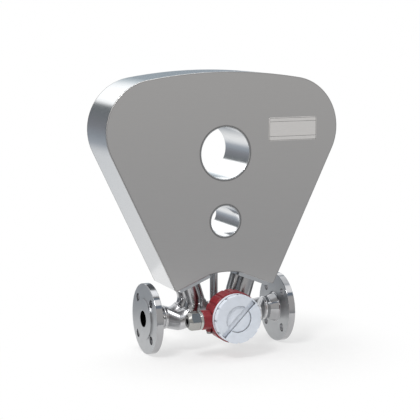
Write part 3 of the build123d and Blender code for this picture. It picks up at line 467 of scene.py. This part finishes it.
def aimed(name, data, place, target):
    """Lamp or camera that stands at a place and looks at a point"""
    obj = bpy.data.objects.new(name, data)
    obj.location = place
    obj.rotation_euler = (Vector(target) - Vector(place)).to_track_quat("-Z", "Y").to_euler()
    bpy.context.collection.objects.link(obj)
    return obj


def camera():
    """Camera at the photograph's viewing angle"""
    data = bpy.data.cameras.new("camera")
    data.lens = CAMERA_LENS
    data.sensor_width = SENSOR_WIDTH
    bpy.context.scene.camera = aimed("camera", data, CAMERA_PLACE, CAMERA_TARGET)


def lamp(name, place, width, height, power):
    """Soft box that shines on the middle of the meter"""
    data = bpy.data.lights.new(name, "AREA")
    data.shape = "RECTANGLE"
    data.size = width
    data.size_y = height
    data.energy = power
    aimed(name, data, place, LAMP_TARGET)


# Metals
# Plate and sleeve steel are darkened along cut edges and hole rims as painted shade
plate_steel = metal(
    "plate_steel", (0.588, 0.578, 0.570), rough=0.30, scale=40.0, mottle=0.012,
    stretch=BRUSHED_X, relief=0.01, edge_shade_reach=0.0032,
)
sheet_steel = metal(
    "sheet_steel", (0.68, 0.69, 0.70), rough=0.13, scale=30.0, mottle=0.04,
    stretch=FINE_BRUSHED_Y,
)
sleeve_steel = metal(
    "sleeve_steel", (0.80, 0.81, 0.82), rough=0.14, scale=40.0, mottle=0.04,
    stretch=BRUSHED_Y, edge_shade_reach=0.0026,
)
name_metal = ruled("name_metal", (0.94, 0.92, 0.90), rough=0.50, plate="nameplate")
flange_steel = turned(
    "flange_steel", rim_colour=(0.44, 0.44, 0.45), rim_rough=0.08,
    face_colour=(0.47, 0.48, 0.49), face_rough=0.40,
)
cast_steel = metal("cast_steel", (0.60, 0.60, 0.61), rough=0.30, scale=40.0, mottle=0.04)
tube_steel = metal("tube_steel", (0.45, 0.45, 0.46), rough=0.20, scale=30.0, mottle=0.04)
bar_steel = metal("bar_steel", (0.50, 0.50, 0.51), rough=0.20, scale=60.0, mottle=0.05, stretch=TURNED_Z)
weld_metal = metal("weld_metal", (0.62, 0.62, 0.63), rough=0.20, scale=400.0, mottle=0.12, relief=0.5)
gland_metal = metal("gland_metal", (0.40, 0.395, 0.38), rough=0.12, scale=80.0, mottle=0.04)
ring_metal = metal("ring_metal", (0.50, 0.51, 0.49), rough=0.24, scale=80.0, mottle=0.04)
screw_metal = metal("screw_metal", (0.30, 0.30, 0.30), rough=0.30, scale=200.0, mottle=0.06)

# Paint, plastic and rubber
# Red paint is darkened in its flutes and grooves, and cover paint in its slot, recess and rim notches, as
# painted shade
red_paint = coat("red_paint", (0.25, 0.010, 0.017), rough=0.34, mottle=0.08, crevice_shade_reach=0.008)
cover_paint = coat("cover_paint", (0.80, 0.85, 0.93), rough=0.42, mottle=0.02, crevice_shade_reach=0.0042)
rubber = coat("rubber", (0.02, 0.02, 0.02), rough=0.60, mottle=0.20)
board_green = coat("board_green", (0.02, 0.16, 0.07), rough=0.40, mottle=0.20)
terminal_grey = coat("terminal_grey", (0.22, 0.24, 0.25), rough=0.50, mottle=0.08)
coil_brown = coat("coil_brown", (0.30, 0.12, 0.05), rough=0.45, mottle=0.20)

# Housing
dress(plate_steel, "housing_front_plate", "housing_rear_plate")
dress(sheet_steel, "housing_band", "housing_arch_plate", "housing_bottom_left", "housing_bottom_right")
dress(sleeve_steel, "upper_sleeve", "lower_sleeve")
dress(name_metal, "nameplate")

# Flow path
dress(flange_steel, "inlet_flange", "outlet_flange")
dress(weld_metal, "flange_weld_beads", "tube_weld_beads")
dress(cast_steel, "inlet_splitter", "outlet_splitter", "spine", "rod_anchor")
dress(tube_steel, "front_measuring_tube", "rear_measuring_tube")

# Drive and sensors
dress(bar_steel, "front_mass_bar", "rear_mass_bar", "front_torsion_rod", "rear_torsion_rod")
dress(bar_steel, "temperature_sensor")
dress(ring_metal, "left_drive_magnet", "right_drive_magnet", "left_pickup_magnet", "right_pickup_magnet")
dress(coil_brown, "left_drive_coil", "right_drive_coil", "left_pickup_coil", "right_pickup_coil")

# Conduit, transmitter and cable gland
dress(bar_steel, "conduit", "conduit_ferrule")
dress(cast_steel, "conduit_base", "transmitter_neck")
dress(red_paint, "transmitter_housing")
dress(cover_paint, "screw_cover")
dress(rubber, "cover_seal", "gland_seal")
dress(board_green, "circuit_board")
dress(terminal_grey, "terminal_block")
dress(screw_metal, "ground_screw", "board_screws", "terminal_screws")
dress(ring_metal, "gland_body")
dress(gland_metal, "gland_nut", "gland_thrust_ring")

floor()
studio()
camera()
for lamp_values in LAMPS:
    lamp(*lamp_values)
bpy.context.scene.view_settings.view_transform = "Standard"
